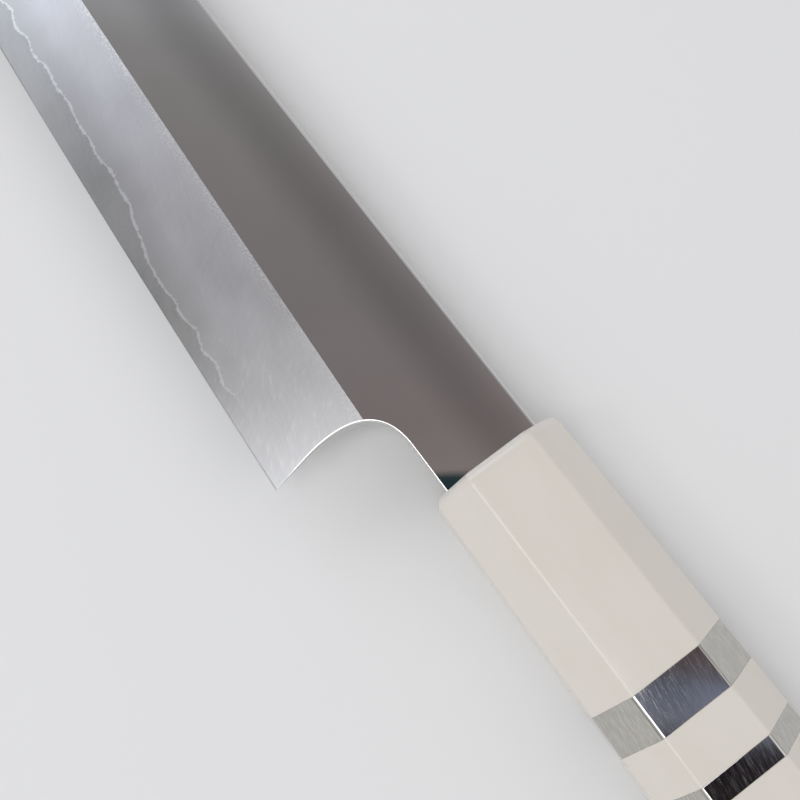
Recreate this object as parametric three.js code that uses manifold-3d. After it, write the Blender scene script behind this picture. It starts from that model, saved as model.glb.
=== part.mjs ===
import * as THREE from 'three';
import { mergeVertices } from 'three/addons/utils/BufferGeometryUtils.js';
import Module from 'manifold-3d';

const wasm = await Module();
wasm.setup();

// Sujihiki: a long slicing knife with a three-layer, wide-bevel blade on an eight-sided handle.
// Millimetres. The knife lies on its right side, with the tip towards -X, the butt towards +X,
// the spine towards +Y and the edge towards -Y. Until the last lines, x is measured from the
// ferrule's front face, and y and z from the handle's axis.

// Blade outline
const edgeLength = 270; // heel to tip
const heelHeight = 39; // spine to heel
const spineRise = 8.7; // spine above the handle's axis
const neckLength = 16.6; // ferrule to heel
const neckDrop = 8.9; // underside of the neck below the axis
const neckFlat = 9.5; // straight underside next to the ferrule
const choilHeight = 11.3; // straight part of the choil above the heel
const choilLean = 1.8; // how far the choil leans towards the tip
const choilSideReach = 6; // how tightly the choil's curve leaves the straight part
const choilNeckReach = 5.5; // and how tightly it joins the neck
const edgeHeelAngle = 2.3; // degrees between edge and axis at the heel
const edgeHeelReach = 100;
const edgeTipAngle = 20; // degrees at the tip
const edgeTipReach = 55;
const bevelHeight = 17.7; // edge to shinogi line at the heel
const shinogiHeelAngle = 2.3;
const shinogiHeelReach = 100;
const shinogiTipAngle = 4;
const shinogiTipReach = 60;
const tipDrop = 6.7; // spine line to tip
const tipDropLength = 110; // stretch over which the spine falls to the tip
const tipLand = 0.6; // blunt height of the point

// Blade thickness
const neckThickness = 3.5; // spine at the ferrule
const tipThickness = 1.1; // spine at the tip
const shinogiThickness = 2.6; // at the heel
const edgeThickness = 0.2;
const spineChamfer = 0.6;
const stationPitch = 1.1; // spacing of the blade's cross-sections

// Lamination: the core's thickness at the neck's full section, and the hammered wave of each side
const coreThickness = 0.964;
const coreHeelThickness = 0.58;
const leftWeld = {
  thinEnd: 57, // the core is thin up to here from the ferrule
  thickStart: 78.3, // and has its full thickness from here on
  waves: [
    { depth: 0.013, pitch: 7.83, phase: 1.97 },
    { depth: 0.012, pitch: 6.53, phase: 1.52 },
    { depth: 0.0095, pitch: 7.06, phase: -1.66 },
    { depth: 0.012, pitch: 25.5, phase: 0.52 },
  ],
};
const rightWeld = {
  thinEnd: 30,
  thickStart: 64,
  waves: [
    { depth: 0.024, pitch: 7.3, phase: 3.7 },
    { depth: 0.02, pitch: 12.1, phase: 0.4 },
    { depth: 0.014, pitch: 27, phase: 1.2 },
  ],
};

// Hidden tang
const tangLength = 85;
const tangHeight = 9.2; // at the shoulders
const tangEndHeight = 5.2;
const tangEndThickness = 2.2;

// Handle, from ferrule to butt
const ferruleLength = 38.7;
const wideBandLength = 6.8;
const middleRingLength = 7.8;
const narrowBandLength = 3.4;
const bodyLength = 88.3;
const frontHeight = 23;
const buttHeight = 26;
const frontThickness = 19;
const buttThickness = 21.1;
const frontCorner = 5.7; // leg of the 45 degree facets
const buttCorner = 6.6;
const edgeEase = 0.4; // how far each of the eight long edges is eased back along its facets
const frontRound = 2; // eased end of the ferrule
const buttRound = 2.4; // eased end of the body
const roundSteps = 5;

// Inside the handle
const dowelDiameter = 13;
const dowelSides = 28;
const dowelPlug = 6; // solid wood behind the slot
const ferruleWall = 9; // ferrule ahead of its bore
const beddingWall = 0.7; // resin round the tang
const glueGap = 0.15; // clearance between bonded pieces

const heelX = -neckLength;
const tipX = heelX - edgeLength;
const heelY = spineRise - heelHeight;
const tipY = spineRise - tipDrop;
const wideBandX = ferruleLength;
const middleRingX = wideBandX + wideBandLength;
const narrowBandX = middleRingX + middleRingLength;
const bodyX = narrowBandX + narrowBandLength;
const buttX = bodyX + bodyLength;
const slotEndX = tangLength + beddingWall;
const dowelEndX = slotEndX + dowelPlug;
const margin = 5; // how far cutting solids stand past what they cut
const mergeDistance = 1e-5; // points closer than this are one
const searchSteps = 40; // halvings when a curve's height is looked up
const lerp = THREE.MathUtils.lerp;

function materialOf(color, roughness, metalness) {
  return new THREE.MeshStandardMaterial({ color, roughness, metalness });
}

function solidOf(geometry) {
  const bare = geometry.clone();
  bare.deleteAttribute('normal');
  bare.deleteAttribute('uv');
  const merged = mergeVertices(bare, mergeDistance);
  return new wasm.Manifold(new wasm.Mesh({
    numProp: 3,
    vertProperties: new Float32Array(merged.attributes.position.array),
    triVerts: new Uint32Array(merged.index.array),
  }));
}

function geometryOf(solid) {
  const mesh = solid.getMesh();
  const geometry = new THREE.BufferGeometry();
  geometry.setAttribute('position', new THREE.BufferAttribute(mesh.vertProperties, 3));
  geometry.setIndex(new THREE.BufferAttribute(mesh.triVerts, 1));
  geometry.computeVertexNormals();
  return geometry;
}

function addMesh(group, name, solid, material) {
  const mesh = new THREE.Mesh(geometryOf(solid), material);
  mesh.name = name;
  group.add(mesh);
}

// A closed skin over rings of points, each ring [y, z] pairs at its own x, counter-clockwise
// when seen from +X, with x rising from ring to ring.
function loft(stations) {
  const count = stations[0].ring.length;
  const points = stations.flatMap(({ x, ring }) => ring.flatMap(([y, z]) => [x, y, z]));
  const faces = [];
  for (let i = 0; i + 1 < stations.length; i += 1) {
    for (let j = 0; j < count; j += 1) {
      const next = (j + 1) % count;
      const a = i * count + j;
      const b = i * count + next;
      faces.push(a, b, b + count, a, b + count, a + count);
    }
  }
  const last = (stations.length - 1) * count;
  for (let j = 1; j + 1 < count; j += 1) {
    faces.push(0, j + 1, j);
    faces.push(last, last + j, last + j + 1);
  }
  const geometry = new THREE.BufferGeometry();
  geometry.setAttribute('position', new THREE.Float32BufferAttribute(points, 3));
  geometry.setIndex(faces);
  return solidOf(geometry);
}

function box(x0, x1, halfHeight, halfThickness) {
  const geometry = new THREE.BoxGeometry(x1 - x0, 2 * halfHeight, 2 * halfThickness);
  geometry.translate((x0 + x1) / 2, 0, 0);
  return solidOf(geometry);
}

function rod(x0, x1, radius) {
  const geometry = new THREE.CylinderGeometry(radius, radius, x1 - x0, dowelSides);
  geometry.rotateZ(Math.PI / 2);
  geometry.translate((x0 + x1) / 2, 0, 0);
  return solidOf(geometry);
}

// A plan outline as a plate right through the blade
function plate(shape) {
  const geometry = new THREE.ExtrudeGeometry(shape, { depth: 2 * neckThickness, bevelEnabled: false });
  geometry.translate(0, 0, -neckThickness);
  return solidOf(geometry);
}

// Plan curve from a heel point to the tip, with its direction and reach given at both ends
function bladeCurve(startY, endY, heelAngle, heelReach, tipAngle, tipReach) {
  const heelSlope = Math.tan(THREE.MathUtils.degToRad(heelAngle));
  const tipSlope = Math.tan(THREE.MathUtils.degToRad(tipAngle));
  return new THREE.CubicBezierCurve(
    new THREE.Vector2(heelX, startY),
    new THREE.Vector2(heelX - heelReach, startY + heelReach * heelSlope),
    new THREE.Vector2(tipX + tipReach, endY - tipReach * tipSlope),
    new THREE.Vector2(tipX, endY),
  );
}

// Height of a plan curve at x; behind the heel it runs on level
function heightAt(curve, x) {
  let low = 0;
  let high = 1;
  const target = Math.min(x, heelX);
  for (let step = 0; step < searchSteps; step += 1) {
    const middle = (low + high) / 2;
    if (curve.getPoint(middle).x > target) low = middle;
    else high = middle;
  }
  return curve.getPoint(low).y;
}

const edgeCurve = bladeCurve(heelY, tipY, edgeHeelAngle, edgeHeelReach, edgeTipAngle, edgeTipReach);
const shinogiCurve = bladeCurve(
  heelY + bevelHeight,
  tipY + tipLand / 2,
  shinogiHeelAngle,
  shinogiHeelReach,
  shinogiTipAngle,
  shinogiTipReach,
);

function spineAt(x) {
  const fall = Math.max(0, tipX + tipDropLength - x) / tipDropLength;
  return spineRise - (tipDrop - tipLand) * fall ** 2;
}

// Half thickness of the polished flat: one plane that thins towards tip and edge, and the tang's taper
const distalTaper = (neckThickness - tipThickness) / 2 / (neckLength + edgeLength);
const tangTaper = (neckThickness - tangEndThickness) / 2 / tangLength;
const heelFlat = neckThickness / 2 - distalTaper * neckLength;
const flatTaper = (heelFlat - shinogiThickness / 2) / (heelHeight - bevelHeight);

function flatHalf(x, y) {
  const along = x < 0 ? distalTaper * x : -tangTaper * x;
  return neckThickness / 2 + along + flatTaper * (y - spineRise);
}

// Half thickness of the core on one side: the weld wanders with the hammer's marks
function coreHalf(x, weld) {
  const grown = THREE.MathUtils.smoothstep(-x, weld.thinEnd, weld.thickStart);
  const even = lerp(coreHeelThickness, coreThickness, grown) / 2;
  const wander = weld.waves.reduce(
    (sum, wave) => sum + wave.depth * Math.sin((2 * Math.PI * x) / wave.pitch + wave.phase),
    0,
  );
  return (even + wander) * (flatHalf(x, spineRise) / (neckThickness / 2));
}

// Heights and half thicknesses of the blade's cross-section at x, on one side
function sectionAt(x, weld) {
  const spine = spineAt(x);
  const shinogi = heightAt(shinogiCurve, x);
  const edge = heightAt(edgeCurve, x);
  const half = {
    spine: flatHalf(x, spine),
    shinogi: flatHalf(x, shinogi),
    edge: edgeThickness / 2,
    core: coreHalf(x, weld),
  };
  const chamfer = Math.min(spineChamfer, (spine - shinogi) / 2, (half.spine - half.core) / 2);
  const seam = lerp(edge, shinogi, (half.core - half.edge) / (half.shinogi - half.edge));
  return { spine, shinogi, edge, seam, chamfer, half };
}

function claddingRing(x, weld) {
  const { spine, shinogi, seam, chamfer, half } = sectionAt(x, weld);
  return [
    [spine, half.core],
    [spine, half.spine - chamfer],
    [spine - chamfer, flatHalf(x, spine - chamfer)],
    [shinogi, half.shinogi],
    [seam, half.core],
  ];
}

function mirrored(ring) {
  return ring.map(([y, z]) => [y, -z]).reverse();
}

function coreRing(x) {
  const left = sectionAt(x, leftWeld);
  const right = sectionAt(x, rightWeld);
  return [
    [left.edge, -right.half.edge],
    [right.seam, -right.half.core],
    [right.spine, -right.half.core],
    [left.spine, left.half.core],
    [left.seam, left.half.core],
    [left.edge, left.half.edge],
  ];
}

const stationCount = Math.round((neckLength + edgeLength) / stationPitch);
const stationXs = [];
for (let i = 0; i <= stationCount; i += 1) {
  stationXs.push(lerp(tipX, 0, i / stationCount));
}
stationXs.push(tangLength);

// What is filed away below the neck and tang: the choil's sweep, the neck, the shoulder, the tang's taper
function belowNeck() {
  const choilTopX = heelX - choilLean;
  const choilTopY = heelY + choilHeight;
  const lean = choilLean / choilHeight;
  const shape = new THREE.Shape();
  shape.moveTo(heelX + lean * margin, heelY - margin);
  shape.lineTo(choilTopX, choilTopY);
  shape.bezierCurveTo(
    choilTopX,
    choilTopY + choilSideReach,
    -neckFlat - choilNeckReach,
    -neckDrop,
    -neckFlat,
    -neckDrop,
  );
  shape.lineTo(0, -neckDrop);
  shape.lineTo(0, -tangHeight / 2);
  shape.lineTo(tangLength, -tangEndHeight / 2);
  shape.lineTo(tangLength + margin, -tangEndHeight / 2);
  shape.lineTo(tangLength + margin, heelY - margin);
  shape.closePath();
  return plate(shape);
}

function aboveTang() {
  const shape = new THREE.Shape();
  shape.moveTo(0, tangHeight / 2);
  shape.lineTo(tangLength, tangEndHeight / 2);
  shape.lineTo(tangLength + margin, tangEndHeight / 2);
  shape.lineTo(tangLength + margin, spineRise + margin);
  shape.lineTo(0, spineRise + margin);
  shape.closePath();
  return plate(shape);
}

const filedAway = belowNeck().add(aboveTang());

function bladeLayer(ringAt) {
  return loft(stationXs.map((x) => ({ x, ring: ringAt(x) }))).subtract(filedAway);
}

const steel = materialOf(0xb4b5b6, 0.28, 1);
const hardSteel = materialOf(0x94968f, 0.34, 1);
const blade = new THREE.Group();
addMesh(blade, 'core_steel', bladeLayer(coreRing), hardSteel);
addMesh(blade, 'left_cladding', bladeLayer((x) => claddingRing(x, leftWeld)), steel);
addMesh(blade, 'right_cladding', bladeLayer((x) => mirrored(claddingRing(x, rightWeld))), steel);

// The point that lies a given distance from a corner towards another corner
function towards([y, z], [otherY, otherZ], distance) {
  const share = distance / Math.hypot(otherY - y, otherZ - z);
  return [lerp(y, otherY, share), lerp(z, otherZ, share)];
}

// Eight-sided handle section at x, drawn in by an even inset, with its long edges eased
function octagon(x, inset) {
  const along = x / buttX;
  const halfHeight = lerp(frontHeight, buttHeight, along) / 2 - inset;
  const halfThickness = lerp(frontThickness, buttThickness, along) / 2 - inset;
  const corner = lerp(frontCorner, buttCorner, along) - inset * (2 - Math.SQRT2);
  const flat = halfHeight - corner;
  const side = halfThickness - corner;
  const corners = [
    [halfHeight, -side],
    [halfHeight, side],
    [flat, halfThickness],
    [-flat, halfThickness],
    [-halfHeight, side],
    [-halfHeight, -side],
    [-flat, -halfThickness],
    [flat, -halfThickness],
  ];
  return corners.flatMap((corner, i) => [
    towards(corner, corners.at(i - 1), edgeEase),
    towards(corner, corners[(i + 1) % corners.length], edgeEase),
  ]);
}

// A length of handle, with its ends eased by quarter rounds where a radius is given
function handleBlock(x0, x1, startRound, endRound) {
  const stations = [];
  const easedEnd = (x, radius, direction) => {
    const steps = radius > 0 ? roundSteps : 0;
    const rings = [];
    for (let i = 0; i <= steps; i += 1) {
      const turn = steps ? (i / steps) * (Math.PI / 2) : Math.PI / 2;
      const along = x + direction * radius * (1 - Math.cos(turn));
      rings.push({ x: along, ring: octagon(along, radius * (1 - Math.sin(turn))) });
    }
    return rings;
  };
  stations.push(...easedEnd(x0, startRound, 1));
  stations.push(...easedEnd(x1, endRound, -1).reverse());
  return loft(stations);
}

const boreRadius = dowelDiameter / 2 + glueGap;
const slotHalfHeight = tangHeight / 2 + beddingWall;
const slotHalfThickness = neckThickness / 2 + beddingWall;

function ferrule() {
  const tangSlot = box(-margin, ferruleWall + margin, slotHalfHeight, slotHalfThickness);
  const bore = rod(ferruleWall, ferruleLength + margin, boreRadius);
  return handleBlock(0, ferruleLength, frontRound, 0).subtract(bore).subtract(tangSlot);
}

function spacer(x, length) {
  return handleBlock(x, x + length, 0, 0).subtract(rod(x - margin, x + length + margin, boreRadius));
}

function handleBody() {
  const bore = rod(bodyX - margin, dowelEndX + glueGap, boreRadius);
  return handleBlock(bodyX, buttX, 0, buttRound).subtract(bore);
}

// The dowel is sawn in line with the blade, and the tang lies in the saw cut
function dowel() {
  const wood = rod(ferruleWall + glueGap, dowelEndX, dowelDiameter / 2);
  return wood.subtract(box(0, slotEndX, dowelDiameter, slotHalfThickness));
}

function tangRing(x, growth) {
  const along = x / tangLength;
  const halfHeight = lerp(tangHeight, tangEndHeight, along) / 2 + growth;
  const halfThickness = lerp(neckThickness, tangEndThickness, along) / 2 + growth;
  return [
    [halfHeight, -halfThickness],
    [halfHeight, halfThickness],
    [-halfHeight, halfThickness],
    [-halfHeight, -halfThickness],
  ];
}

function tangBedding() {
  const mouthEndX = ferruleWall + margin;
  const mouth = box(0, mouthEndX, slotHalfHeight - glueGap, slotHalfThickness - glueGap);
  const sawCut = box(0, slotEndX - glueGap, dowelDiameter, slotHalfThickness - glueGap);
  const inDowel = rod(ferruleWall + glueGap, slotEndX, dowelDiameter / 2).intersect(sawCut);
  const tang = loft([-margin, tangLength + glueGap].map((x) => ({ x, ring: tangRing(x, glueGap) })));
  return mouth.add(inDowel).subtract(tang);
}

const cream = materialOf(0xd8d0c4, 0.22, 0);
const nickelSilver = materialOf(0xb3aea2, 0.16, 1);
const handle = new THREE.Group();
addMesh(handle, 'ferrule', ferrule(), cream);
addMesh(handle, 'wide_band', spacer(wideBandX, wideBandLength), nickelSilver);
addMesh(handle, 'middle_ring', spacer(middleRingX, middleRingLength), cream);
addMesh(handle, 'narrow_band', spacer(narrowBandX, narrowBandLength), nickelSilver);
addMesh(handle, 'handle_body', handleBody(), cream);
addMesh(handle, 'dowel', dowel(), materialOf(0xb78f5e, 0.7, 0));
addMesh(handle, 'tang_bedding', tangBedding(), materialOf(0xc9bfa8, 0.45, 0));

// The origin is on the resting plane, below the middle of the knife's length and height.
// The handle is widest where the butt's round begins.
const widest = octagon(buttX - buttRound, 0);
const highestY = Math.max(...widest.map(([y]) => y));
const lowestZ = Math.min(...widest.map(([, z]) => z));
const knife = new THREE.Group();
knife.add(blade, handle);
knife.position.set(-(tipX + buttX) / 2, -(heelY + highestY) / 2, -lowestZ);

export default knife;
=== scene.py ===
import math

import bmesh
import bpy
import numpy as np
from mathutils import Matrix, Vector
from mathutils.geometry import interpolate_bezier


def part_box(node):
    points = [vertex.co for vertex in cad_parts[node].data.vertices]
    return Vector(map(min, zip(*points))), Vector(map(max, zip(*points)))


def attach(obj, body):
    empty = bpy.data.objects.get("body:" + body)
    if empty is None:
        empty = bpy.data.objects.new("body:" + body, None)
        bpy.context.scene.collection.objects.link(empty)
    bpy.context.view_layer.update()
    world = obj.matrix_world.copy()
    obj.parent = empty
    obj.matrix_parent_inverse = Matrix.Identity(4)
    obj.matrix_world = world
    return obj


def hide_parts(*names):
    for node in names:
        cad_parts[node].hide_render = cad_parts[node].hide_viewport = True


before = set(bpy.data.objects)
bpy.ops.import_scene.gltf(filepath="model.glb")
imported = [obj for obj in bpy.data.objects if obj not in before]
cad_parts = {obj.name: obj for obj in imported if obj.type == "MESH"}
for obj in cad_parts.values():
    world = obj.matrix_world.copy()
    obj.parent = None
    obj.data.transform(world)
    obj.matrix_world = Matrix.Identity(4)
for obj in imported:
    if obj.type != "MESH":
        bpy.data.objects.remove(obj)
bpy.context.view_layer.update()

scene = bpy.context.scene

# Pieces are modelled in millimetres from the ferrule's front face, on the handle's axis
mm = 0.001
onePoint = 0.0005  # points closer than this become one
cornerAngle = math.radians(28)  # edges that turn further are shaded as corners
facetWeight = 100  # lets the large flats keep their own shading
quarterTurn = math.pi / 2
ferruleLow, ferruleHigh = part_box("ferrule")
axisStart = (ferruleLow + ferruleHigh) / 2
axisStart.x = ferruleLow.x
toRow = Matrix.Translation(axisStart) @ Matrix.Scale(mm, 4)
toModel = toRow.inverted()


def modelBox(node):
    low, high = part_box(node)
    return toModel @ low, toModel @ high


def lerp(start, end, share):
    return start + (end - start) * share


# A grid whose points go where place(column, row) says
def mappedGrid(bm, columns, rows, place, finish=0):
    made = bmesh.ops.create_grid(bm, x_segments=columns, y_segments=rows, size=0.5)
    for vert in made["verts"]:
        column = round((vert.co.x + 0.5) * columns)
        row = round((vert.co.y + 0.5) * rows)
        vert.co = place(column, row)
    for face in {face for vert in made["verts"] for face in vert.link_faces}:
        face.material_index = finish


def closeMesh(bm, gap=onePoint):
    bmesh.ops.remove_doubles(bm, verts=bm.verts, dist=gap)
    bmesh.ops.dissolve_degenerate(bm, edges=bm.edges, dist=gap)
    rim = [edge for edge in bm.edges if edge.is_boundary]
    bmesh.ops.holes_fill(bm, edges=rim, sides=0)
    bmesh.ops.recalc_face_normals(bm, faces=bm.faces)


# Smooth shading inside a finish, crisp lines between finishes and at real corners
def shadeMesh(bm):
    for face in bm.faces:
        face.smooth = True
    for edge in bm.edges:
        finishes = {face.material_index for face in edge.link_faces}
        edge.smooth = len(finishes) == 1 and edge.calc_face_angle(0) < cornerAngle


def objectOf(bm, name):
    mesh = bpy.data.meshes.new(name)
    bm.to_mesh(mesh)
    bm.free()
    piece = bpy.data.objects.new(name, mesh)
    scene.collection.objects.link(piece)
    return piece


def dressPiece(piece, node, slotName, finishes):
    piece.data.transform(toRow)
    for index, finish in enumerate(finishes):
        if index < len(piece.data.materials):
            piece.data.materials[index] = finish
        else:
            piece.data.materials.append(finish)
    flats = piece.modifiers.new("flatFacets", "WEIGHTED_NORMAL")
    flats.keep_sharp = True
    flats.weight = facetWeight
    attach(piece, "root")
    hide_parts(node)
    print("piece", piece.name, len(piece.data.polygons), "faces")


colourSockets = {"first": 6, "second": 7, "mixed": 2}  # of a Mix node that blends colours


def opaque(colour):
    return (*colour, 1)


# Shader maths: a socket that can be added, multiplied and so on
class Wire:
    def __init__(self, tree, socket=None):
        self.tree = tree
        self.socket = socket

    # Any node: its type, its settings, then values or wires for its sockets
    def add(self, kind, settings=None, inputs=None, output=0):
        node = self.tree.nodes.new(kind)
        for key, value in (settings or {}).items():
            if key == "stops":
                ramp = node.color_ramp.elements
                while len(ramp) < len(value):
                    ramp.new(1)
                for element, (position, colour) in zip(ramp, value):
                    element.position = position
                    element.color = opaque(colour)
            else:
                setattr(node, key, value)
        for key, value in (inputs or {}).items():
            if isinstance(value, Wire):
                self.tree.links.new(value.socket, node.inputs[key])
            else:
                node.inputs[key].default_value = value
        return Wire(self.tree, node.outputs[output] if len(node.outputs) else None)

    def math(self, operation, first, second):
        return self.add("ShaderNodeMath", {"operation": operation}, {0: first, 1: second})

    def __add__(self, other):
        return self.math("ADD", self, other)

    def __radd__(self, other):
        return self.math("ADD", other, self)

    def __sub__(self, other):
        return self.math("SUBTRACT", self, other)

    def __rsub__(self, other):
        return self.math("SUBTRACT", other, self)

    def __mul__(self, other):
        return self.math("MULTIPLY", self, other)

    def __truediv__(self, other):
        return self.math("DIVIDE", self, other)

    def __abs__(self):
        return self.math("ABSOLUTE", self, 0)

    def atLeast(self, other):
        return self.math("MAXIMUM", self, other)

    # 0 below low, 1 above high, eased between
    def between(self, low, high):
        return self.add(
            "ShaderNodeMapRange",
            {"interpolation_type": "SMOOTHSTEP"},
            {"Value": self, "From Min": low, "From Max": high},
        )

    def mixColour(self, first, second):
        inputs = {"Factor": self}
        for socket, colour in (("first", first), ("second", second)):
            inputs[colourSockets[socket]] = colour if isinstance(colour, Wire) else opaque(colour)
        return self.add("ShaderNodeMix", {"data_type": "RGBA"}, inputs, colourSockets["mixed"])


# A material, with model coordinates in millimetres ready for its patterns
def newFinish(name):
    finish = bpy.data.materials.new(name)
    finish.use_nodes = True
    tree = finish.node_tree
    tree.nodes.clear()
    wire = Wire(tree)
    coords = wire.add("ShaderNodeTexCoord", output="Object")
    place = wire.add(
        "ShaderNodeMapping",
        {},
        {"Vector": coords, "Location": -axisStart / mm, "Scale": (1 / mm,) * 3},
    )
    return finish, wire, place


def shine(wire, inputs):
    surface = wire.add("ShaderNodeBsdfPrincipled", {}, inputs)
    wire.add("ShaderNodeOutputMaterial", {}, {"Surface": surface})


noiseMean = 0.5


# Noise on model coordinates, turned by degrees about z and then stretched; small numbers draw it out
def noise(wire, place, pattern):
    turn = math.radians(pattern.get("turn", 0))
    turned = wire.add("ShaderNodeMapping", {}, {"Vector": place, "Rotation": (0, 0, turn)})
    stretch = pattern.get("stretch", (1, 1, 1))
    sized = wire.add("ShaderNodeMapping", {}, {"Vector": turned, "Scale": stretch})
    return wire.add("ShaderNodeTexNoise", {}, {
        "Vector": sized,
        "Scale": pattern["scale"],
        "Detail": pattern.get("detail", 3),
        "Roughness": pattern.get("roughness", 0.5),
    })


# How much of a pattern shows, between two of its levels
def shown(pattern, show):
    return pattern.between(*show["levels"]) * show["share"]


# Bump of a given strength, with its depth in millimetres
def relief(wire, height, strength, depth):
    return wire.add(
        "ShaderNodeBump",
        {},
        {"Height": height, "Strength": strength, "Distance": depth * mm},
    )


mirrorLook = {
    "tones": {
        "mirrorSteel": (0.63, 0.62, 0.61),
        "mirrorCore": (0.59, 0.585, 0.575),
        # a brighter copy of the mirror steel for the spine and choil rounds: a painted highlight
        "paintedHighlightEdge": (0.74, 0.735, 0.725),
    },
    "dullest": 0.96,  # share of the tone that is left in the dull clouds
    "clouds": {"scale": 0.05, "turn": 20, "stretch": (1, 2, 1)},
    "cloudLevels": (0.3, 0.7),
    "hairs": {"scale": 2.2, "turn": 8, "stretch": (0.03, 1, 1), "detail": 2},
    "roughness": 0.015,
    "cloudHaze": {"levels": (0.35, 0.7), "share": 0.015},
    "hairHaze": {"levels": (0.6, 0.8), "share": 0.02},
    "relief": (0.03, 0.01),
}


# Mirror polish of the flat, spine, neck and choil
def mirrorPolish(name):
    finish, wire, place = newFinish(name)
    clouds = noise(wire, place, mirrorLook["clouds"])
    hairs = noise(wire, place, mirrorLook["hairs"])
    bright = mirrorLook["tones"][name]
    dull = [channel * mirrorLook["dullest"] for channel in bright]
    haze = shown(clouds, mirrorLook["cloudHaze"]) + shown(hairs, mirrorLook["hairHaze"])
    shine(wire, {
        "Base Color": clouds.between(*mirrorLook["cloudLevels"]).mixColour(dull, bright),
        "Metallic": 1,
        "Roughness": mirrorLook["roughness"] + haze,
        "Normal": relief(wire, hairs, *mirrorLook["relief"]),
    })
    return finish


hazeLook = {
    "claddingTones": ((0.61, 0.615, 0.63), (0.7, 0.705, 0.72)),  # dull and bright
    "coreTones": ((0.41, 0.415, 0.41), (0.48, 0.485, 0.48)),
    "weldTone": (0.86, 0.87, 0.89),
    "fleckAndHighlightTone": (0.9, 0.895, 0.89),
    "paintedShadeTone": (0.47, 0.475, 0.475),  # painted shade: the cladding just above the weld is darkened for the darker reflection there, partly the stone's haze
    "paintedShadeHeights": (0.3, 6.5),
    "paintedShadeShare": 0.75,
    # Rubbing on the stone
    "clouds": {"scale": 0.1, "stretch": (0.6, 1, 1)},
    "cloudRub": {"levels": (0.25, 0.75), "share": 0.5},
    "strokes": {"scale": 2.6, "turn": 62, "stretch": (0.06, 1, 1)},
    "strokeRub": {"levels": (0.3, 0.7), "share": 0.2},
    "crossing": {"scale": 2.2, "turn": 18, "stretch": (0.08, 1, 1)},
    "crossRub": {"levels": (0.35, 0.7), "share": 0.2},
    "grain": {"scale": 5, "detail": 2},
    "grainShow": {"levels": (0.5, 0.8), "share": 0.15},
    # The weld line: how far its zigzags and finest teeth stray, and how its width swells
    "zigzag": {"scale": 0.8, "detail": 5, "roughness": 0.68},
    "weldWander": 0.75,
    "teeth": {"scale": 3.2, "roughness": 0.6},
    "weldFray": 0.3,
    "swell": {"scale": 1.1, "detail": 2},
    "swellLevels": (0.35, 0.7),
    "weldWidths": (0.12, 0.55),
    "weldHeart": 0.3,  # share of the width that is fully bright
    "weldShare": 0.6,
    "layerBlur": 0.08,  # half the width over which core turns to cladding
    "weldLost": (-37, -29),  # towards the heel the line and the core's tone are polished away
    "toneLost": (-54, -26),
    # Frost below the shinogi, and a painted highlight line at its top
    "crumbs": {"scale": 3.6, "stretch": (0.8, 1, 1), "detail": 4, "roughness": 0.6},
    "frostLevels": (0.46, 0.6),
    "frostShare": 0.9,
    "frostDepths": (-0.3, 2.8),
    "paintedRidgeHighlight": 0.22,
    "paintedRidgeShare": 0.6,
    # Towards the heel there is less frost, and scuffs appear
    "heelward": (-52, -30),
    "frostLoss": 0.5,
    "scuffs": {"scale": 1.3, "turn": 35, "stretch": (0.3, 1, 1), "detail": 5, "roughness": 0.62},
    "scuffShow": {"levels": (0.52, 0.72), "share": 0.3},
    "roughness": 0.35,
    "cloudGloss": 0.06,
    "strokeGloss": 0.06,
    "crossGloss": 0.04,
    "crossDepth": 0.7,
    "grainDepth": 0.8,
    "relief": (0.085, 0.02),
}
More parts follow.
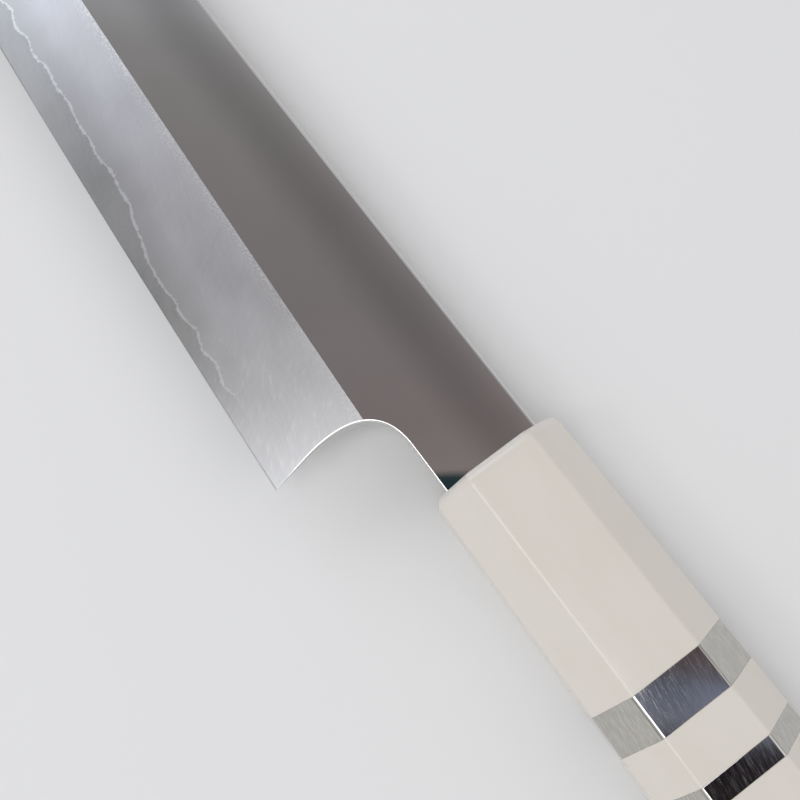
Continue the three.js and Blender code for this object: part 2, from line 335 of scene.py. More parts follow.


# Stone haze of the bevel: darker core, paler cladding and the bright weld line between them, with
# painted shade on the cladding above the weld and a painted highlight along the shinogi's top
def stoneHaze(name):
    finish, wire, place = newFinish(name)
    seam = wire.add("ShaderNodeAttribute", {"attribute_name": "seamHeight"}, output="Fac")
    ridge = wire.add("ShaderNodeAttribute", {"attribute_name": "ridgeGap"}, output="Fac")
    along = wire.add("ShaderNodeSeparateXYZ", {}, {"Vector": place}, output="X")
    clouds = noise(wire, place, hazeLook["clouds"])
    strokes = noise(wire, place, hazeLook["strokes"])
    crossing = noise(wire, place, hazeLook["crossing"])
    grain = noise(wire, place, hazeLook["grain"])
    zigzag = noise(wire, place, hazeLook["zigzag"])
    teeth = noise(wire, place, hazeLook["teeth"])
    swell = noise(wire, place, hazeLook["swell"])
    crumbs = noise(wire, place, hazeLook["crumbs"])
    scuffs = noise(wire, place, hazeLook["scuffs"])

    # The weld line, straying from the seam
    wander = (zigzag - noiseMean) * hazeLook["weldWander"]
    offset = seam + wander + (teeth - noiseMean) * hazeLook["weldFray"]
    thin, thick = hazeLook["weldWidths"]
    width = thin + swell.between(*hazeLook["swellLevels"]) * (thick - thin)
    weld = 1 - abs(offset).between(width * hazeLook["weldHeart"], width)
    lined = 1 - along.between(*hazeLook["weldLost"])

    # Core and cladding on its two sides, the cladding with painted shade just above the weld
    rubs = shown(clouds, hazeLook["cloudRub"]) + shown(strokes, hazeLook["strokeRub"])
    rubbed = rubs + shown(crossing, hazeLook["crossRub"])
    toned = 1 - along.between(*hazeLook["toneLost"])
    # painted shade: darkens the cladding just above the weld, fading towards the heel; partly the
    # stone's haze there
    paintedShade = (1 - seam.between(*hazeLook["paintedShadeHeights"])) * toned * hazeLook["paintedShadeShare"]
    cladding = paintedShade.mixColour(rubbed.mixColour(*hazeLook["claddingTones"]), hazeLook["paintedShadeTone"])
    core = rubbed.mixColour(*hazeLook["coreTones"])
    inCore = (1 - offset.between(-hazeLook["layerBlur"], hazeLook["layerBlur"])) * toned
    layered = inCore.mixColour(cladding, core)

    # Frost below the shinogi, a painted highlight along its top, scuffs at the heel
    heelward = along.between(*hazeLook["heelward"])
    frost = crumbs.between(*hazeLook["frostLevels"])
    kept = hazeLook["frostShare"] - heelward * hazeLook["frostLoss"]
    flecks = (1 - ridge.between(*hazeLook["frostDepths"])) * frost * kept
    # painted highlight: a bright line along the top of the shinogi
    paintedRidgeHighlight = (1 - ridge.between(0, hazeLook["paintedRidgeHighlight"])) * hazeLook["paintedRidgeShare"]
    feathers = shown(scuffs, hazeLook["scuffShow"]) * heelward
    # frost, the painted ridge highlight, scuffs and grain, all in the pale fleck tone
    bright = flecks.atLeast(paintedRidgeHighlight).atLeast(feathers) + shown(grain, hazeLook["grainShow"])
    flecked = bright.mixColour(layered, hazeLook["fleckAndHighlightTone"])

    gloss = hazeLook["roughness"] + (clouds - noiseMean) * hazeLook["cloudGloss"]
    gloss += (strokes - noiseMean) * hazeLook["strokeGloss"]
    gloss += (crossing - noiseMean) * hazeLook["crossGloss"]
    height = strokes + crossing * hazeLook["crossDepth"] + grain * hazeLook["grainDepth"]
    shine(wire, {
        "Base Color": (weld * lined * hazeLook["weldShare"]).mixColour(flecked, hazeLook["weldTone"]),
        "Metallic": 1,
        "Roughness": gloss,
        "Normal": relief(wire, height, *hazeLook["relief"]),
    })
    return finish


creamLook = {
    "tones": ((0.735, 0.688, 0.618), (0.763, 0.72, 0.654)),
    "clouds": {"scale": 0.14, "stretch": (0.5, 1, 1)},
    "cloudShow": {"levels": (0.3, 0.7), "share": 0.65},
    "streaks": {"scale": 0.5, "stretch": (0.1, 1, 1), "detail": 4},
    "streakShow": {"levels": (0.25, 0.75), "share": 0.35},
    "specks": {"scale": 5, "stretch": (0.5, 1, 1), "detail": 2},
    "speckShow": {"levels": (0.62, 0.85), "share": 0.15},
    "speckTone": (0.79, 0.76, 0.72),
    "roughness": 0.26,
    "cloudGloss": 0.06,
    "refraction": 1.5,
    "coat": 0.3,
    "coatRoughness": 0.08,
    "relief": (0.03, 0.01),
}


# Cream resin, almost even, with faint clouds and streaks along the handle
def creamResin(name):
    finish, wire, place = newFinish(name)
    clouds = noise(wire, place, creamLook["clouds"])
    streaks = noise(wire, place, creamLook["streaks"])
    specks = noise(wire, place, creamLook["specks"])
    blend = shown(clouds, creamLook["cloudShow"]) + shown(streaks, creamLook["streakShow"])
    pale = blend.mixColour(*creamLook["tones"])
    shine(wire, {
        "Base Color": shown(specks, creamLook["speckShow"]).mixColour(pale, creamLook["speckTone"]),
        "Roughness": creamLook["roughness"] + clouds * creamLook["cloudGloss"],
        "IOR": creamLook["refraction"],
        "Coat Weight": creamLook["coat"],
        "Coat Roughness": creamLook["coatRoughness"],
        "Normal": relief(wire, specks, *creamLook["relief"]),
    })
    return finish


nickelLook = {
    "tones": ((0.525, 0.51, 0.48), (0.665, 0.65, 0.62)),
    "rubs": {"scale": 4.4, "turn": 10, "stretch": (0.09, 1, 1), "detail": 4, "roughness": 0.55},
    "rubShow": {"levels": (0.43, 0.67), "share": 0.6},
    "hairs": {"scale": 7, "turn": 5, "stretch": (0.06, 1, 1), "detail": 2},
    "hairShow": {"levels": (0.43, 0.67), "share": 0.4},
    "dents": {"scale": 2, "detail": 2},
    "roughness": 0.05,
    "markGloss": 0.08,
    "hairDepth": 0.6,
    "dentDepth": 0.3,
    "relief": (0.07, 0.01),
}


# Polished nickel silver, rubbed along the handle and a little aslant
def nickelSilver(name):
    finish, wire, place = newFinish(name)
    rubs = noise(wire, place, nickelLook["rubs"])
    hairs = noise(wire, place, nickelLook["hairs"])
    dents = noise(wire, place, nickelLook["dents"])
    marks = shown(rubs, nickelLook["rubShow"]) + shown(hairs, nickelLook["hairShow"])
    height = rubs + hairs * nickelLook["hairDepth"] + dents * nickelLook["dentDepth"]
    shine(wire, {
        "Base Color": marks.mixColour(*nickelLook["tones"]),
        "Metallic": 1,
        "Roughness": nickelLook["roughness"] + marks * nickelLook["markGloss"],
        "Normal": relief(wire, height, *nickelLook["relief"]),
    })
    return finish


woodLook = {
    "tones": ((0.52, 0.36, 0.2), (0.7, 0.52, 0.32)),
    "rings": {"scale": 0.9, "stretch": (0.05, 1, 1), "detail": 4},
    "ringLevels": (0.3, 0.7),
    "pores": {"scale": 6, "stretch": (0.06, 1, 1), "detail": 2},
    "poreShow": {"levels": (0.6, 0.8), "share": 0.4},
    "poreTone": (0.36, 0.23, 0.12),
    "roughness": 0.6,
    "poreGloss": 0.15,
    "relief": (0.3, 0.05),
}


# Bare dowel wood, with grain along the handle
def dowelWood(name):
    finish, wire, place = newFinish(name)
    rings = noise(wire, place, woodLook["rings"])
    pores = noise(wire, place, woodLook["pores"])
    tone = rings.between(*woodLook["ringLevels"]).mixColour(*woodLook["tones"])
    shine(wire, {
        "Base Color": shown(pores, woodLook["poreShow"]).mixColour(tone, woodLook["poreTone"]),
        "Roughness": woodLook["roughness"] + pores * woodLook["poreGloss"],
        "Normal": relief(wire, pores, *woodLook["relief"]),
    })
    return finish


beddingLook = {
    "tones": ((0.62, 0.56, 0.45), (0.7, 0.65, 0.54)),
    "clouds": {"scale": 0.6},
    "cloudLevels": (0.3, 0.7),
    "roughness": 0.4,
    "cloudGloss": 0.1,
    "relief": (0.1, 0.1),
}


# Cured resin round the tang
def beddingResin(name):
    finish, wire, place = newFinish(name)
    clouds = noise(wire, place, beddingLook["clouds"])
    shine(wire, {
        "Base Color": clouds.between(*beddingLook["cloudLevels"]).mixColour(*beddingLook["tones"]),
        "Roughness": beddingLook["roughness"] + clouds * beddingLook["cloudGloss"],
        "Normal": relief(wire, clouds, *beddingLook["relief"]),
    })
    return finish


mirrorSteel, mirrorCore, paintedHighlightEdge = (mirrorPolish(name) for name in mirrorLook["tones"])
bevelHaze = stoneHaze("bevelHaze")
cream = creamResin("creamResin")
nickel = nickelSilver("nickelSilver")
print("finishes ready")

bladeShape = {
    "neckLength": 16.6,  # ferrule to heel
    "neckDrop": 8.9,
    "neckFlat": 9.1,
    "choilHeight": 6.9,  # its straight part
    "choilLean": 1.23,
    "choilReaches": (8.7, 8.2),
    "bevelHeight": 17.7,
    "edgeAngles": (2.3, 20),  # at heel and tip
    "edgeReaches": (100, 55),
    "shinogiAngles": (2.3, 4),
    "shinogiReaches": (100, 60),
    "tipDrop": 6.7,
    "tipDropLength": 110,
    "tipLand": 0.6,
    "neckThickness": 3.5,
    "tipThickness": 1.1,
    "shinogiThickness": 2.6,
    "edgeThickness": 0.2,
    "microBevel": 0.2,
    "spineRound": 0.6,
    "choilRound": 0.27,
    "roundShare": 0.42,  # the most of the half thickness that a round takes
    "tangStep": 0.05,  # over which it grows as thick as the spine and fills its bed
    "tangHeight": 9.2,
    "tangEndHeight": 5.2,
    "tangEndThickness": 2.2,
    "curvePoints": 600,
    "columns": 190,
    "flatRows": 8,
    "roundSteps": 7,
    "choilSteps": 11,  # up its straight part
    "choilFoot": 0.05,  # and a first short step there, as a share
    "sweepPoints": 33,
    "neckSteps": 6,
    "mergeGap": 0.002,
}
weldShape = {
    "coreThickness": 0.964,
    "coreHeelThickness": 0.58,
    "pitch": 0.5,
    "margin": 4,
    # waves: depth, length and phase
    "left": {
        "thinEnd": 57,
        "thickStart": 78.3,
        "waves": (
            (0.013, 7.83, 1.97),
            (0.012, 6.53, 1.52),
            (0.0095, 7.06, -1.66),
            (0.012, 25.5, 0.52),
        ),
    },
    "right": {
        "thinEnd": 30,
        "thickStart": 64,
        "waves": ((0.024, 7.3, 3.7), (0.02, 12.1, 0.4), (0.014, 27, 1.2)),
    },
}
flatFinish, bevelFinish, weldFinish, roundFinish = range(4)  # the blade's material slots
nearFerrule = 0.001  # how close to the ferrule's front plane counts as on it
coreLow, coreHigh = modelBox("core_steel")
tipX = coreLow.x
heelX = -bladeShape["neckLength"]
heelY = coreLow.y
spineY = coreHigh.y
tangEndX = coreHigh.x
tipY = spineY - bladeShape["tipDrop"]
neckHalf = bladeShape["neckThickness"] / 2
edgeHalf = bladeShape["edgeThickness"] / 2


# Plan curve from heel to tip, as rising x and its y
def planCurve(startY, endY, angles, reaches):
    heelSlope, tipSlope = (math.tan(math.radians(angle)) for angle in angles)
    points = interpolate_bezier(
        Vector((heelX, startY)),
        Vector((heelX - reaches[0], startY + reaches[0] * heelSlope)),
        Vector((tipX + reaches[1], endY - reaches[1] * tipSlope)),
        Vector((tipX, endY)),
        bladeShape["curvePoints"],
    )
    points.reverse()
    return [point[0] for point in points], [point[1] for point in points]


edgeCurve = planCurve(heelY, tipY, bladeShape["edgeAngles"], bladeShape["edgeReaches"])
shinogiCurve = planCurve(
    heelY + bladeShape["bevelHeight"],
    tipY + bladeShape["tipLand"] / 2,
    bladeShape["shinogiAngles"],
    bladeShape["shinogiReaches"],
)


def edgeAt(x):
    return float(np.interp(x, *edgeCurve))


def shinogiAt(x):
    return float(np.interp(x, *shinogiCurve))


def spineAt(x):
    fall = max(0, tipX + bladeShape["tipDropLength"] - x) / bladeShape["tipDropLength"]
    return spineY - (bladeShape["tipDrop"] - bladeShape["tipLand"]) * fall ** 2


distalTaper = (neckHalf - bladeShape["tipThickness"] / 2) / -tipX
tangTaper = (neckHalf - bladeShape["tangEndThickness"] / 2) / tangEndX
heelFlat = neckHalf + distalTaper * heelX
flatRise = spineY - heelY - bladeShape["bevelHeight"]
flatTaper = (heelFlat - bladeShape["shinogiThickness"] / 2) / flatRise


def flatHalf(x, y):
    along = distalTaper * x if x < 0 else -tangTaper * x
    return neckHalf + along + flatTaper * (y - spineY)


def bevelShare(x, y):
    return (y - edgeAt(x)) / (shinogiAt(x) - edgeAt(x))


def bevelHalf(x, share):
    return lerp(edgeHalf, flatHalf(x, shinogiAt(x)), share)


def steelHalf(x, y):
    return flatHalf(x, y) if y >= shinogiAt(x) else bevelHalf(x, bevelShare(x, y))


# Half thickness of the core on one side
def coreHalf(x, weld):
    grown = min(1, max(0, (-x - weld["thinEnd"]) / (weld["thickStart"] - weld["thinEnd"])))
    eased = grown * grown * (3 - 2 * grown)
    even = lerp(weldShape["coreHeelThickness"], weldShape["coreThickness"], eased) / 2
    wander = sum(
        depth * math.sin(math.tau * x / length + phase)
        for depth, length, phase in weld["waves"]
    )
    return (even + wander) * flatHalf(x, spineY) / neckHalf


def seamAt(x, weld):
    share = (coreHalf(x, weld) - edgeHalf) / (bevelHalf(x, 1) - edgeHalf)
    return lerp(edgeAt(x), shinogiAt(x), share)


# The filed outline from the heel up the choil and along the neck to the ferrule
def choilOutline():
    heel = Vector((heelX, heelY))
    top = Vector((heelX - bladeShape["choilLean"], heelY + bladeShape["choilHeight"]))
    neck = Vector((-bladeShape["neckFlat"], -bladeShape["neckDrop"]))
    sideReach, neckReach = bladeShape["choilReaches"]
    micro = bladeShape["microBevel"] / bladeShape["choilHeight"]
    steps, neckSteps = bladeShape["choilSteps"], bladeShape["neckSteps"]
    rise = [0, micro, bladeShape["choilFoot"], *[step / steps for step in range(1, steps)]]
    straight = [heel.lerp(top, share) for share in rise]
    sweep = interpolate_bezier(
        top,
        top + (top - heel).normalized() * sideReach,
        neck - Vector((neckReach, 0)),
        neck,
        bladeShape["sweepPoints"],
    )
    neckEnd = Vector((0, neck.y))
    level = [neck.lerp(neckEnd, step / neckSteps) for step in range(1, neckSteps + 1)]
    return straight + [point.to_2d() for point in sweep] + level


# The outline drawn in by its round, with the round's radius at each point
def drawnIn(outline):
    inner = []
    for index, point in enumerate(outline):
        before = outline[max(index - 1, 0)]
        after = outline[min(index + 1, len(outline) - 1)]
        inward = (after - before).normalized().orthogonal()
        half = 0 if index == 0 else steelHalf(point.x, point.y)
        radius = min(bladeShape["choilRound"], bladeShape["roundShare"] * half)
        inner.append((point + inward * radius, radius))
    return inner


# The whole blade, before its three layers are told apart
def bladeBlank():
    outline = choilOutline()
    inner = drawnIn(outline)

    # A point of the outline goes where the shinogi meets the choil
    meet = next(i for i, (point, radius) in enumerate(inner) if point.y > shinogiAt(point.x))
    low, high = inner[meet - 1][0], inner[meet][0]
    lowGap, highGap = shinogiAt(low.x) - low.y, high.y - shinogiAt(high.x)
    outline.insert(meet, outline[meet - 1].lerp(outline[meet], lowGap / (lowGap + highGap)))
    inner = drawnIn(outline)
    shares = [0, *[bevelShare(point.x, point.y) for point, radius in inner[1:meet]], 1]
    columns, flatRows, steps = (bladeShape[key] for key in ("columns", "flatRows", "roundSteps"))

    def onBevel(column, row):
        x = lerp(tipX, inner[row][0].x, column / columns)
        half = bevelHalf(x, shares[row]) if row else 0
        return x, lerp(edgeAt(x), shinogiAt(x), shares[row]), half

    def aboveEdge(column, row):
        return onBevel(column, row + 1)

    def roundAt(x, low):
        room = min(spineAt(x) - low, flatHalf(x, spineAt(x)))
        return min(bladeShape["spineRound"], bladeShape["roundShare"] * room)

    def onFlat(column, row):
        x, low, half = onBevel(min(column, columns), meet)
        if column > columns:
            x, low = inner[meet + column - columns][0]
        y = lerp(low, spineAt(x) - roundAt(x, low), row / flatRows)
        return x, y, flatHalf(x, y)

    def onSpine(column, row):
        x, y, half = onFlat(column, flatRows)
        radius = spineAt(x) - y
        turn = quarterTurn * row / steps
        if row > steps:
            return x, spineAt(x), 0
        return x, y + radius * math.sin(turn), half - radius * (1 - math.cos(turn))

    def onChoil(column, row):
        point, radius = inner[column]
        half = steelHalf(point.x, point.y) if column else 0
        turn = quarterTurn * row / steps
        edge = point.lerp(outline[column], math.sin(min(turn, quarterTurn)))
        depth = 0 if row > steps else half - radius * (1 - math.cos(turn))
        return edge.x, edge.y, depth

    bm = bmesh.new()
    flatColumns = columns + len(inner) - 1 - meet
    mappedGrid(bm, flatColumns, flatRows, onFlat, flatFinish)
    mappedGrid(bm, flatColumns, steps + 1, onSpine, roundFinish)
    mappedGrid(bm, len(inner) - 1, steps + 1, onChoil, roundFinish)
    mappedGrid(bm, columns, 1, onBevel, bevelFinish)  # the fine bevel at the very edge
    mappedGrid(bm, columns, meet - 1, aboveEdge, bevelFinish)
    bmesh.ops.mirror(bm, geom=bm.verts[:] + bm.edges[:] + bm.faces[:], axis="Z", merge_dist=onePoint)
    closeMesh(bm, bladeShape["mergeGap"])
    return bm


def facesAtFerrule(bm):
    return [face for face in bm.faces if all(abs(vert.co.x) < nearFerrule for vert in face.verts)]


# The tang is drawn out of the middle of the neck's end
def drawTang(bm):
    halfHeight = bladeShape["tangHeight"] / 2
    for side in (-1, 1):
        cut = {item for face in facesAtFerrule(bm) for item in (face, *face.edges, *face.verts)}
        bmesh.ops.bisect_plane(
            bm,
            geom=list(cut),
            plane_co=(0, side * halfHeight, 0),
            plane_no=(0, 1, 0),
        )
    root = min(facesAtFerrule(bm), key=lambda face: abs(face.calc_center_bounds().y))
    stations = (
        # x, share of the height, half thickness
        (bladeShape["tangStep"], 1, neckHalf),
        (
            tangEndX,
            bladeShape["tangEndHeight"] / bladeShape["tangHeight"],
            bladeShape["tangEndThickness"] / 2,
        ),
    )
    for x, share, half in stations:
        drawn = bmesh.ops.extrude_face_region(bm, geom=[root])
        bmesh.ops.delete(bm, geom=[root], context="FACES_ONLY")
        root = next(item for item in drawn["geom"] if isinstance(item, bmesh.types.BMFace))
        for vert in root.verts:
            vert.co = x, vert.co.y * share, math.copysign(half, vert.co.z)
    bmesh.ops.recalc_face_normals(bm, faces=bm.faces)
    for face in bm.faces:
        if face.calc_center_bounds().x > -nearFerrule:
            face.material_index = roundFinish


# A slab with wavy faces, to part the layers at their welds
def weldSlab(topAt, bottomAt):
    margin = weldShape["margin"]
    startX, endX = tipX - margin, tangEndX + margin
    count = round((endX - startX) / weldShape["pitch"])

    def onTop(column, row):
        x = lerp(startX, endX, column / count)
        return x, lerp(heelY - margin, spineY + margin, row), topAt(x)

    bm = bmesh.new()
    mappedGrid(bm, count, 1, onTop)
    drawn = bmesh.ops.extrude_face_region(bm, geom=bm.faces[:], use_keep_orig=True)
    for item in drawn["geom"]:
        if isinstance(item, bmesh.types.BMVert):
            item.co.z = bottomAt(item.co.x)
    for face in bm.faces:
        face.material_index = weldFinish
    bmesh.ops.recalc_face_normals(bm, faces=bm.faces)
    return objectOf(bm, "weldSlab")


# One layer of the blade, with the heights that its haze follows kept on its points
def partLayer(name, blank, slab, operation):
    layer = bpy.data.objects.new(name, blank.data.copy())
    scene.collection.objects.link(layer)
    part = layer.modifiers.new("part", "BOOLEAN")
    part.operation = operation
    part.solver = "EXACT"
    part.object = slab
    bpy.context.view_layer.update()
    shaped = layer.evaluated_get(bpy.context.evaluated_depsgraph_get())
    parted = bpy.data.meshes.new_from_object(shaped)
    layer.modifiers.clear()
    layer.data = parted
    parted.name = name
    bpy.data.objects.remove(slab)
    bm = bmesh.new()
    bm.from_mesh(parted)
    bmesh.ops.remove_doubles(bm, verts=bm.verts, dist=onePoint)
    bmesh.ops.dissolve_degenerate(bm, edges=bm.edges, dist=onePoint)
    seamHeight = bm.verts.layers.float.new("seamHeight")
    ridgeGap = bm.verts.layers.float.new("ridgeGap")
    for vert in bm.verts:
        weld = weldShape["left" if vert.co.z > 0 else "right"]
        vert[seamHeight] = vert.co.y - seamAt(vert.co.x, weld)
        vert[ridgeGap] = shinogiAt(vert.co.x) - vert.co.y
    shadeMesh(bm)
    bm.to_mesh(parted)
    bm.free()
    return layer


def leftWeld(x):
    return coreHalf(x, weldShape["left"])


def rightWeld(x):
    return -coreHalf(x, weldShape["right"])


def farBelow(x):
    return -weldShape["margin"]


def farAbove(x):
    return weldShape["margin"]


blankMesh = bladeBlank()
drawTang(blankMesh)
blank = objectOf(blankMesh, "bladeBlank")
for finish in (mirrorSteel, bevelHaze, mirrorCore, paintedHighlightEdge):  # the flat, bevel, weld and rounds
    blank.data.materials.append(finish)
print("blade blank", len(blank.data.polygons), "faces")

hardSteel = ("core_steel", (mirrorCore, bevelHaze, mirrorCore, mirrorCore))  # slot and finishes
# the cladding's rounds take the brighter steel copy, a painted highlight
softSteel = ("cladding_steel", (mirrorSteel, bevelHaze, mirrorSteel, paintedHighlightEdge))
bladeLayers = (
    # piece, node, steel, the slab's two faces, how the slab parts the blank
    ("coreSteel", "core_steel", hardSteel, (leftWeld, rightWeld), "INTERSECT"),
    ("leftCladding", "left_cladding", softSteel, (leftWeld, farBelow), "DIFFERENCE"),
    ("rightCladding", "right_cladding", softSteel, (farAbove, rightWeld), "DIFFERENCE"),
)
for name, node, steel, slabFaces, operation in bladeLayers:
    layer = partLayer(name, blank, weldSlab(*slabFaces), operation)
    dressPiece(layer, node, *steel)
bpy.data.objects.remove(blank)

handleShape = {
    "frontHeight": 23,
    "buttHeight": 26,
    "frontThickness": 19,
    "buttThickness": 21.1,
    "frontCorner": 5.7,  # leg of the 45 degree facets
    "buttCorner": 6.6,
    "sides": 8,
    "edgeRound": 0.9,  # radius along the eight edges
    "edgeSteps": 5,
    "jointEase": 0.06,  # broken edge where two blocks meet
    "frontRound": 2,
    "buttRound": 2.4,
    "roundSteps": 9,
    "boreRadius": 6.65,
    "ferruleWall": 9,
    "slotHeight": 10.6,
    "slotThickness": 4.9,
    "boreEnd": 91.85,
}
buttX = modelBox("handle_body")[1].x
ease = handleShape["jointEase"]
sidePoints = handleShape["edgeSteps"] + 1
ringPoints = handleShape["sides"] * sidePoints


# Point of the eight-sided section at x, drawn in by an inset, with its corners rounded
def sectionPoint(x, inset, index):
    along = x / buttX
    halfHeight = lerp(handleShape["frontHeight"], handleShape["buttHeight"], along) / 2
    halfThickness = lerp(handleShape["frontThickness"], handleShape["buttThickness"], along) / 2
    corner = lerp(handleShape["frontCorner"], handleShape["buttCorner"], along)
    slant = (halfHeight + halfThickness - corner) / math.sqrt(2)
    reaches = (halfHeight, slant, halfThickness, slant)  # axis to each facet, over half a turn
    radius = handleShape["edgeRound"]
    side, step = divmod(index % ringPoints, sidePoints)
    eighth = math.tau / handleShape["sides"]
    facing = eighth * side
    first = reaches[side % len(reaches)] - inset - radius
    second = reaches[(side + 1) % len(reaches)] - inset - radius
    across = (second - first * math.cos(eighth)) / math.sin(eighth)
    turn = facing + eighth * step / handleShape["edgeSteps"]
    return (
        x,
        first * math.cos(facing) - across * math.sin(facing) + radius * math.cos(turn),
        first * math.sin(facing) + across * math.cos(facing) + radius * math.sin(turn),
    )


def ringAngle(index):
    x, y, z = sectionPoint(0, 0, index)
    return math.atan2(z, y)


def borePoint(x, index):
    turn = ringAngle(index)
    return x, handleShape["boreRadius"] * math.cos(turn), handleShape["boreRadius"] * math.sin(turn)


# Four of the eight edges run into the corners of the slot
def slotPoint(x, index):
    side = index % ringPoints // sidePoints
    turn = ringAngle(index)
    y, z = math.cos(turn), math.sin(turn)
    halfThickness = handleShape["slotThickness"] / 2
    reach = handleShape["slotHeight"] / 2 if side % 4 in (0, 3) else halfThickness * abs(y / z)
    return x, math.copysign(reach, y), math.copysign(halfThickness, z)


# Outer skin from one end of a block to the other, as rings that give the place of each point
def skin(startX, endX, startRound, endRound):
    stations = []
    for x, radius, direction in ((startX, startRound, 1), (endX, endRound, -1)):
        steps = handleShape["roundSteps"] if radius > ease else 1
        end = []
        for step in range(steps + 1):
            turn = quarterTurn * step / steps
            end.append((x + direction * radius * (1 - math.cos(turn)), radius * (1 - math.sin(turn))))
        stations += end if direction == 1 else end[::-1]
    return [lambda index, x=x, inset=inset: sectionPoint(x, inset, index) for x, inset in stations]


def bore(x):
    return lambda index: borePoint(x, index)


def slot(x):
    return lambda index: slotPoint(x, index)


def handleBlock(name, node, slotName, finish, rings):
    bm = bmesh.new()
    mappedGrid(bm, ringPoints, len(rings) - 1, lambda column, row: rings[row](column))
    closeMesh(bm)
    shadeMesh(bm)
    dressPiece(objectOf(bm, name), node, slotName, (finish,))


wallX = handleShape["ferruleWall"]
ferruleEnd = modelBox("ferrule")[1].x
handleBlock("frontFerrule", "ferrule", "cream_resin", cream, [
    slot(wallX),
    slot(0),
    *skin(0, ferruleEnd, handleShape["frontRound"], ease),
    bore(ferruleEnd),
    bore(wallX),
    slot(wallX),
])
spacers = (
    ("wideBand", "wide_band", "nickel_silver", nickel),
    ("middleRing", "middle_ring", "cream_resin", cream),
    ("narrowBand", "narrow_band", "nickel_silver", nickel),
)
for name, node, slotName, finish in spacers:
    spacerLow, spacerHigh = modelBox(node)
    startX, endX = spacerLow.x, spacerHigh.x
    loop = skin(startX, endX, ease, ease)
    handleBlock(name, node, slotName, finish, [*loop, bore(endX), bore(startX), loop[0]])
bodyStart = modelBox("handle_body")[0].x
handleBlock("handleBody", "handle_body", "cream_resin", cream, [
    bore(handleShape["boreEnd"]),
    bore(bodyStart),
    *skin(bodyStart, buttX, ease, handleShape["buttRound"]),
])

# The dowel and the bedding keep their solids
innerFinishes = {"dowel": dowelWood("dowelWood"), "tang_bedding": beddingResin("beddingResin")}
for node, finish in innerFinishes.items():
    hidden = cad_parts[node]
    hidden.data.materials.clear()
    hidden.data.materials.append(finish)
print("handle ready")

roomLook = {
    "axis": (0.818, -0.576, 0),  # the tones overhead run along this direction, tip side first
    "tones": (
        (-0.65, (0.5, 0.5, 0.53)),
        (-0.555, (0.43, 0.43, 0.45)),
        (-0.53, (0.355, 0.352, 0.362)),
        (-0.5, (0.325, 0.315, 0.32)),
        (-0.4, (0.282, 0.262, 0.268)),
        (-0.3, (0.272, 0.25, 0.255)),
        (-0.18, (0.275, 0.24, 0.242)),
        (-0.1245, (0.298, 0.264, 0.26)),
        (-0.122, (0.025, 0.048, 0.055)),
        (-0.02, (0.035, 0.045, 0.05)),
        (0.04, (0.11, 0.075, 0.08)),
        (0.06, (0.115, 0.105, 0.12)),
        (0.078, (0.2, 0.23, 0.335)),
        (0.108, (0.3, 0.325, 0.43)),
        (0.13, (0.025, 0.02, 0.024)),
        (0.21, (0.025, 0.02, 0.024)),
        (0.28, (0.5, 0.5, 0.5)),
        (0.7, (0.55, 0.55, 0.55)),
    ),
    "wallTone": (0.36, 0.36, 0.36),
    "wallHeights": (0.5, 0.72),
    "horizonTone": (0.7, 0.697, 0.69),
    "horizonHeights": (0.18, 0.34),
    "gapLean": 0.112,  # a dim gap overhead, along the blade: its sideways lean, width and depth
    "gapWidth": 0.048,
    "gapDepth": 0.22,
    "rimLeans": (0.13, 0.17),  # and the brighter rim beside it
    "rimGain": 0.25,
    "glows": (
        # direction, angles of the core and rim, tone
        ((0.68, -0.36, 0.64), (8, 40), (1.1, 1.1, 1.1)),
        ((0.52, 0.5, 0.69), (6, 28), (1, 1, 1)),
    ),
}


def lightWorld():
    world = bpy.data.worlds.new("softRoom")
    world.use_nodes = True
    tree = world.node_tree
    tree.nodes.clear()
    wire = Wire(tree)
    direction = wire.add("ShaderNodeTexCoord", output="Generated")
    side = wire.add("ShaderNodeSeparateXYZ", {}, {"Vector": direction}, output="Y")
    height = wire.add("ShaderNodeSeparateXYZ", {}, {"Vector": direction}, output="Z")

    def facing(axis):
        return wire.add(
            "ShaderNodeVectorMath",
            {"operation": "DOT_PRODUCT"},
            {0: direction, 1: axis},
            output="Value",
        )

    # Directions run from -1 to 1, the ramp from 0 to 1
    across = facing(roomLook["axis"])
    stops = [(position / 2 + 0.5, tone) for position, tone in roomLook["tones"]]
    overhead = wire.add("ShaderNodeValToRGB", {"stops": stops}, {"Fac": across / 2 + 0.5})
    above = height.between(*roomLook["wallHeights"]).mixColour(roomLook["wallTone"], overhead)
    raised = height.between(*roomLook["horizonHeights"])
    room = raised.mixColour(roomLook["horizonTone"], above)
    for axis, angles, tone in roomLook["glows"]:
        core, rim = (math.cos(math.radians(angle)) for angle in angles)
        glow = facing(Vector(axis).normalized()).between(rim, core)
        room = glow.mixColour(room, tone)
    lean = side / height
    gap = 1 - abs(lean - roomLook["gapLean"]).between(0, roomLook["gapWidth"])
    level = 1 - gap * roomLook["gapDepth"] + lean.between(*roomLook["rimLeans"]) * roomLook["rimGain"]
    sky = wire.add("ShaderNodeBackground", {}, {"Color": room, "Strength": raised * (level - 1) + 1})
    wire.add("ShaderNodeOutputWorld", {}, {"Surface": sky})
    scene.world = world


floorLook = {
    "size": 6,
    "colour": (0.84, 0.84, 0.84),
    "dullest": 0.985,
    "clouds": {"scale": 0.01, "detail": 2},
    "roughness": 0.9,
    "specular": 0.1,
    "fade": (0.26, 0.62),  # metres from the middle, over which the floor takes the horizon's tone
}


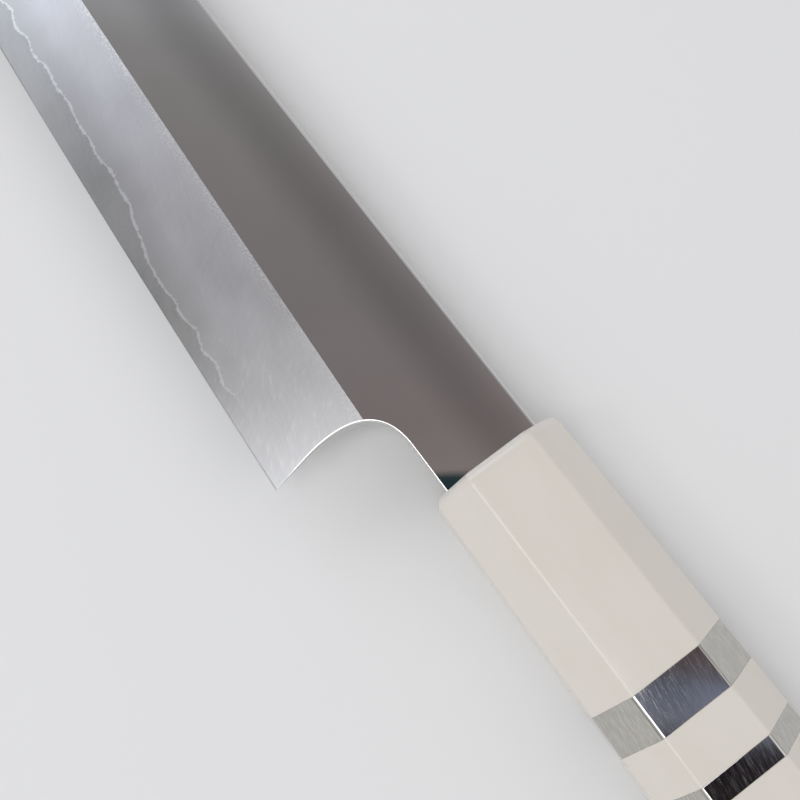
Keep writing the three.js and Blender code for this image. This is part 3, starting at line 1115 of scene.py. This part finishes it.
def layFloor():
    finish, wire, place = newFinish("paleFloor")
    clouds = noise(wire, place, floorLook["clouds"])
    dull = [channel * floorLook["dullest"] for channel in floorLook["colour"]]
    surface = wire.add("ShaderNodeBsdfPrincipled", {}, {
        "Base Color": clouds.mixColour(floorLook["colour"], dull),
        "Roughness": floorLook["roughness"],
        "Specular IOR Level": floorLook["specular"],
    })
    backdrop = wire.add("ShaderNodeEmission", {}, {"Color": opaque(roomLook["horizonTone"])})
    coords = wire.add("ShaderNodeTexCoord", output="Object")
    outward = wire.add("ShaderNodeVectorMath", {"operation": "LENGTH"}, {0: coords}, output="Value")
    rays = ("Is Camera Ray", "Is Glossy Ray", "Is Transmission Ray")
    camera, glossy, passing = (wire.add("ShaderNodeLightPath", output=ray) for ray in rays)
    share = camera.atLeast(glossy).atLeast(passing) * outward.between(*floorLook["fade"])
    faded = wire.add("ShaderNodeMixShader", {}, {0: share, 1: surface, 2: backdrop})
    wire.add("ShaderNodeOutputMaterial", {}, {"Surface": faded})
    bm = bmesh.new()
    bmesh.ops.create_grid(bm, x_segments=1, y_segments=1, size=floorLook["size"] / 2)
    floor = objectOf(bm, "floor")
    floor.data.materials.append(finish)


def aim(thing, place, look, up):
    back = -Vector(look).normalized()
    side = Vector(up).cross(back).normalized()
    turn = Matrix((side, back.cross(side), back)).transposed()
    thing.matrix_world = Matrix.Translation(place) @ turn.to_4x4()


lamps = {
    # direction, distance and size in metres, watts, colour
    "heelSoftbox": ((0.16, -0.22, 0.96), 0.9, (0.5, 0.4), 1.75, (1, 1, 1)),
    "edgeSoftbox": ((-0.04, -0.62, 0.78), 0.9, (0.25, 0.18), 0.5, (1, 1, 1)),
    "tipSoftbox": ((-0.86, -0.14, 0.49), 0.9, (0.6, 0.4), 2.1, (0.84, 0.89, 1)),
}


def hangLamps():
    for name, (direction, distance, size, watts, colour) in lamps.items():
        lamp = bpy.data.lights.new(name, "AREA")
        lamp.shape = "RECTANGLE"
        lamp.size, lamp.size_y = size
        lamp.energy = watts
        lamp.color = colour
        holder = bpy.data.objects.new(name, lamp)
        scene.collection.objects.link(holder)
        place = Vector(direction).normalized() * distance
        aim(holder, place, -place, (0, 0, 1))
        holder.visible_camera = False


# Metres, except the lens and its sensor
cameraView = {
    "place": (0.08433, -0.00978, 0.15576),
    "look": (-0.2023, 0.0843, -0.9757),
    "up": (-0.7808, 0.5875, 0.2127),
    "nearest": 0.01,
    "lens": 41.68,
    "sensor": 36,
}


def setCamera():
    camera = bpy.data.cameras.new("camera")
    camera.lens = cameraView["lens"]
    camera.sensor_width = cameraView["sensor"]
    camera.clip_start = cameraView["nearest"]
    holder = bpy.data.objects.new("camera", camera)
    scene.collection.objects.link(holder)
    aim(holder, cameraView["place"], cameraView["look"], cameraView["up"])
    scene.camera = holder


layFloor()
lightWorld()
hangLamps()
setCamera()
scene.view_settings.view_transform = "Standard"
print("studio ready")

bpy.context.view_layer.update()
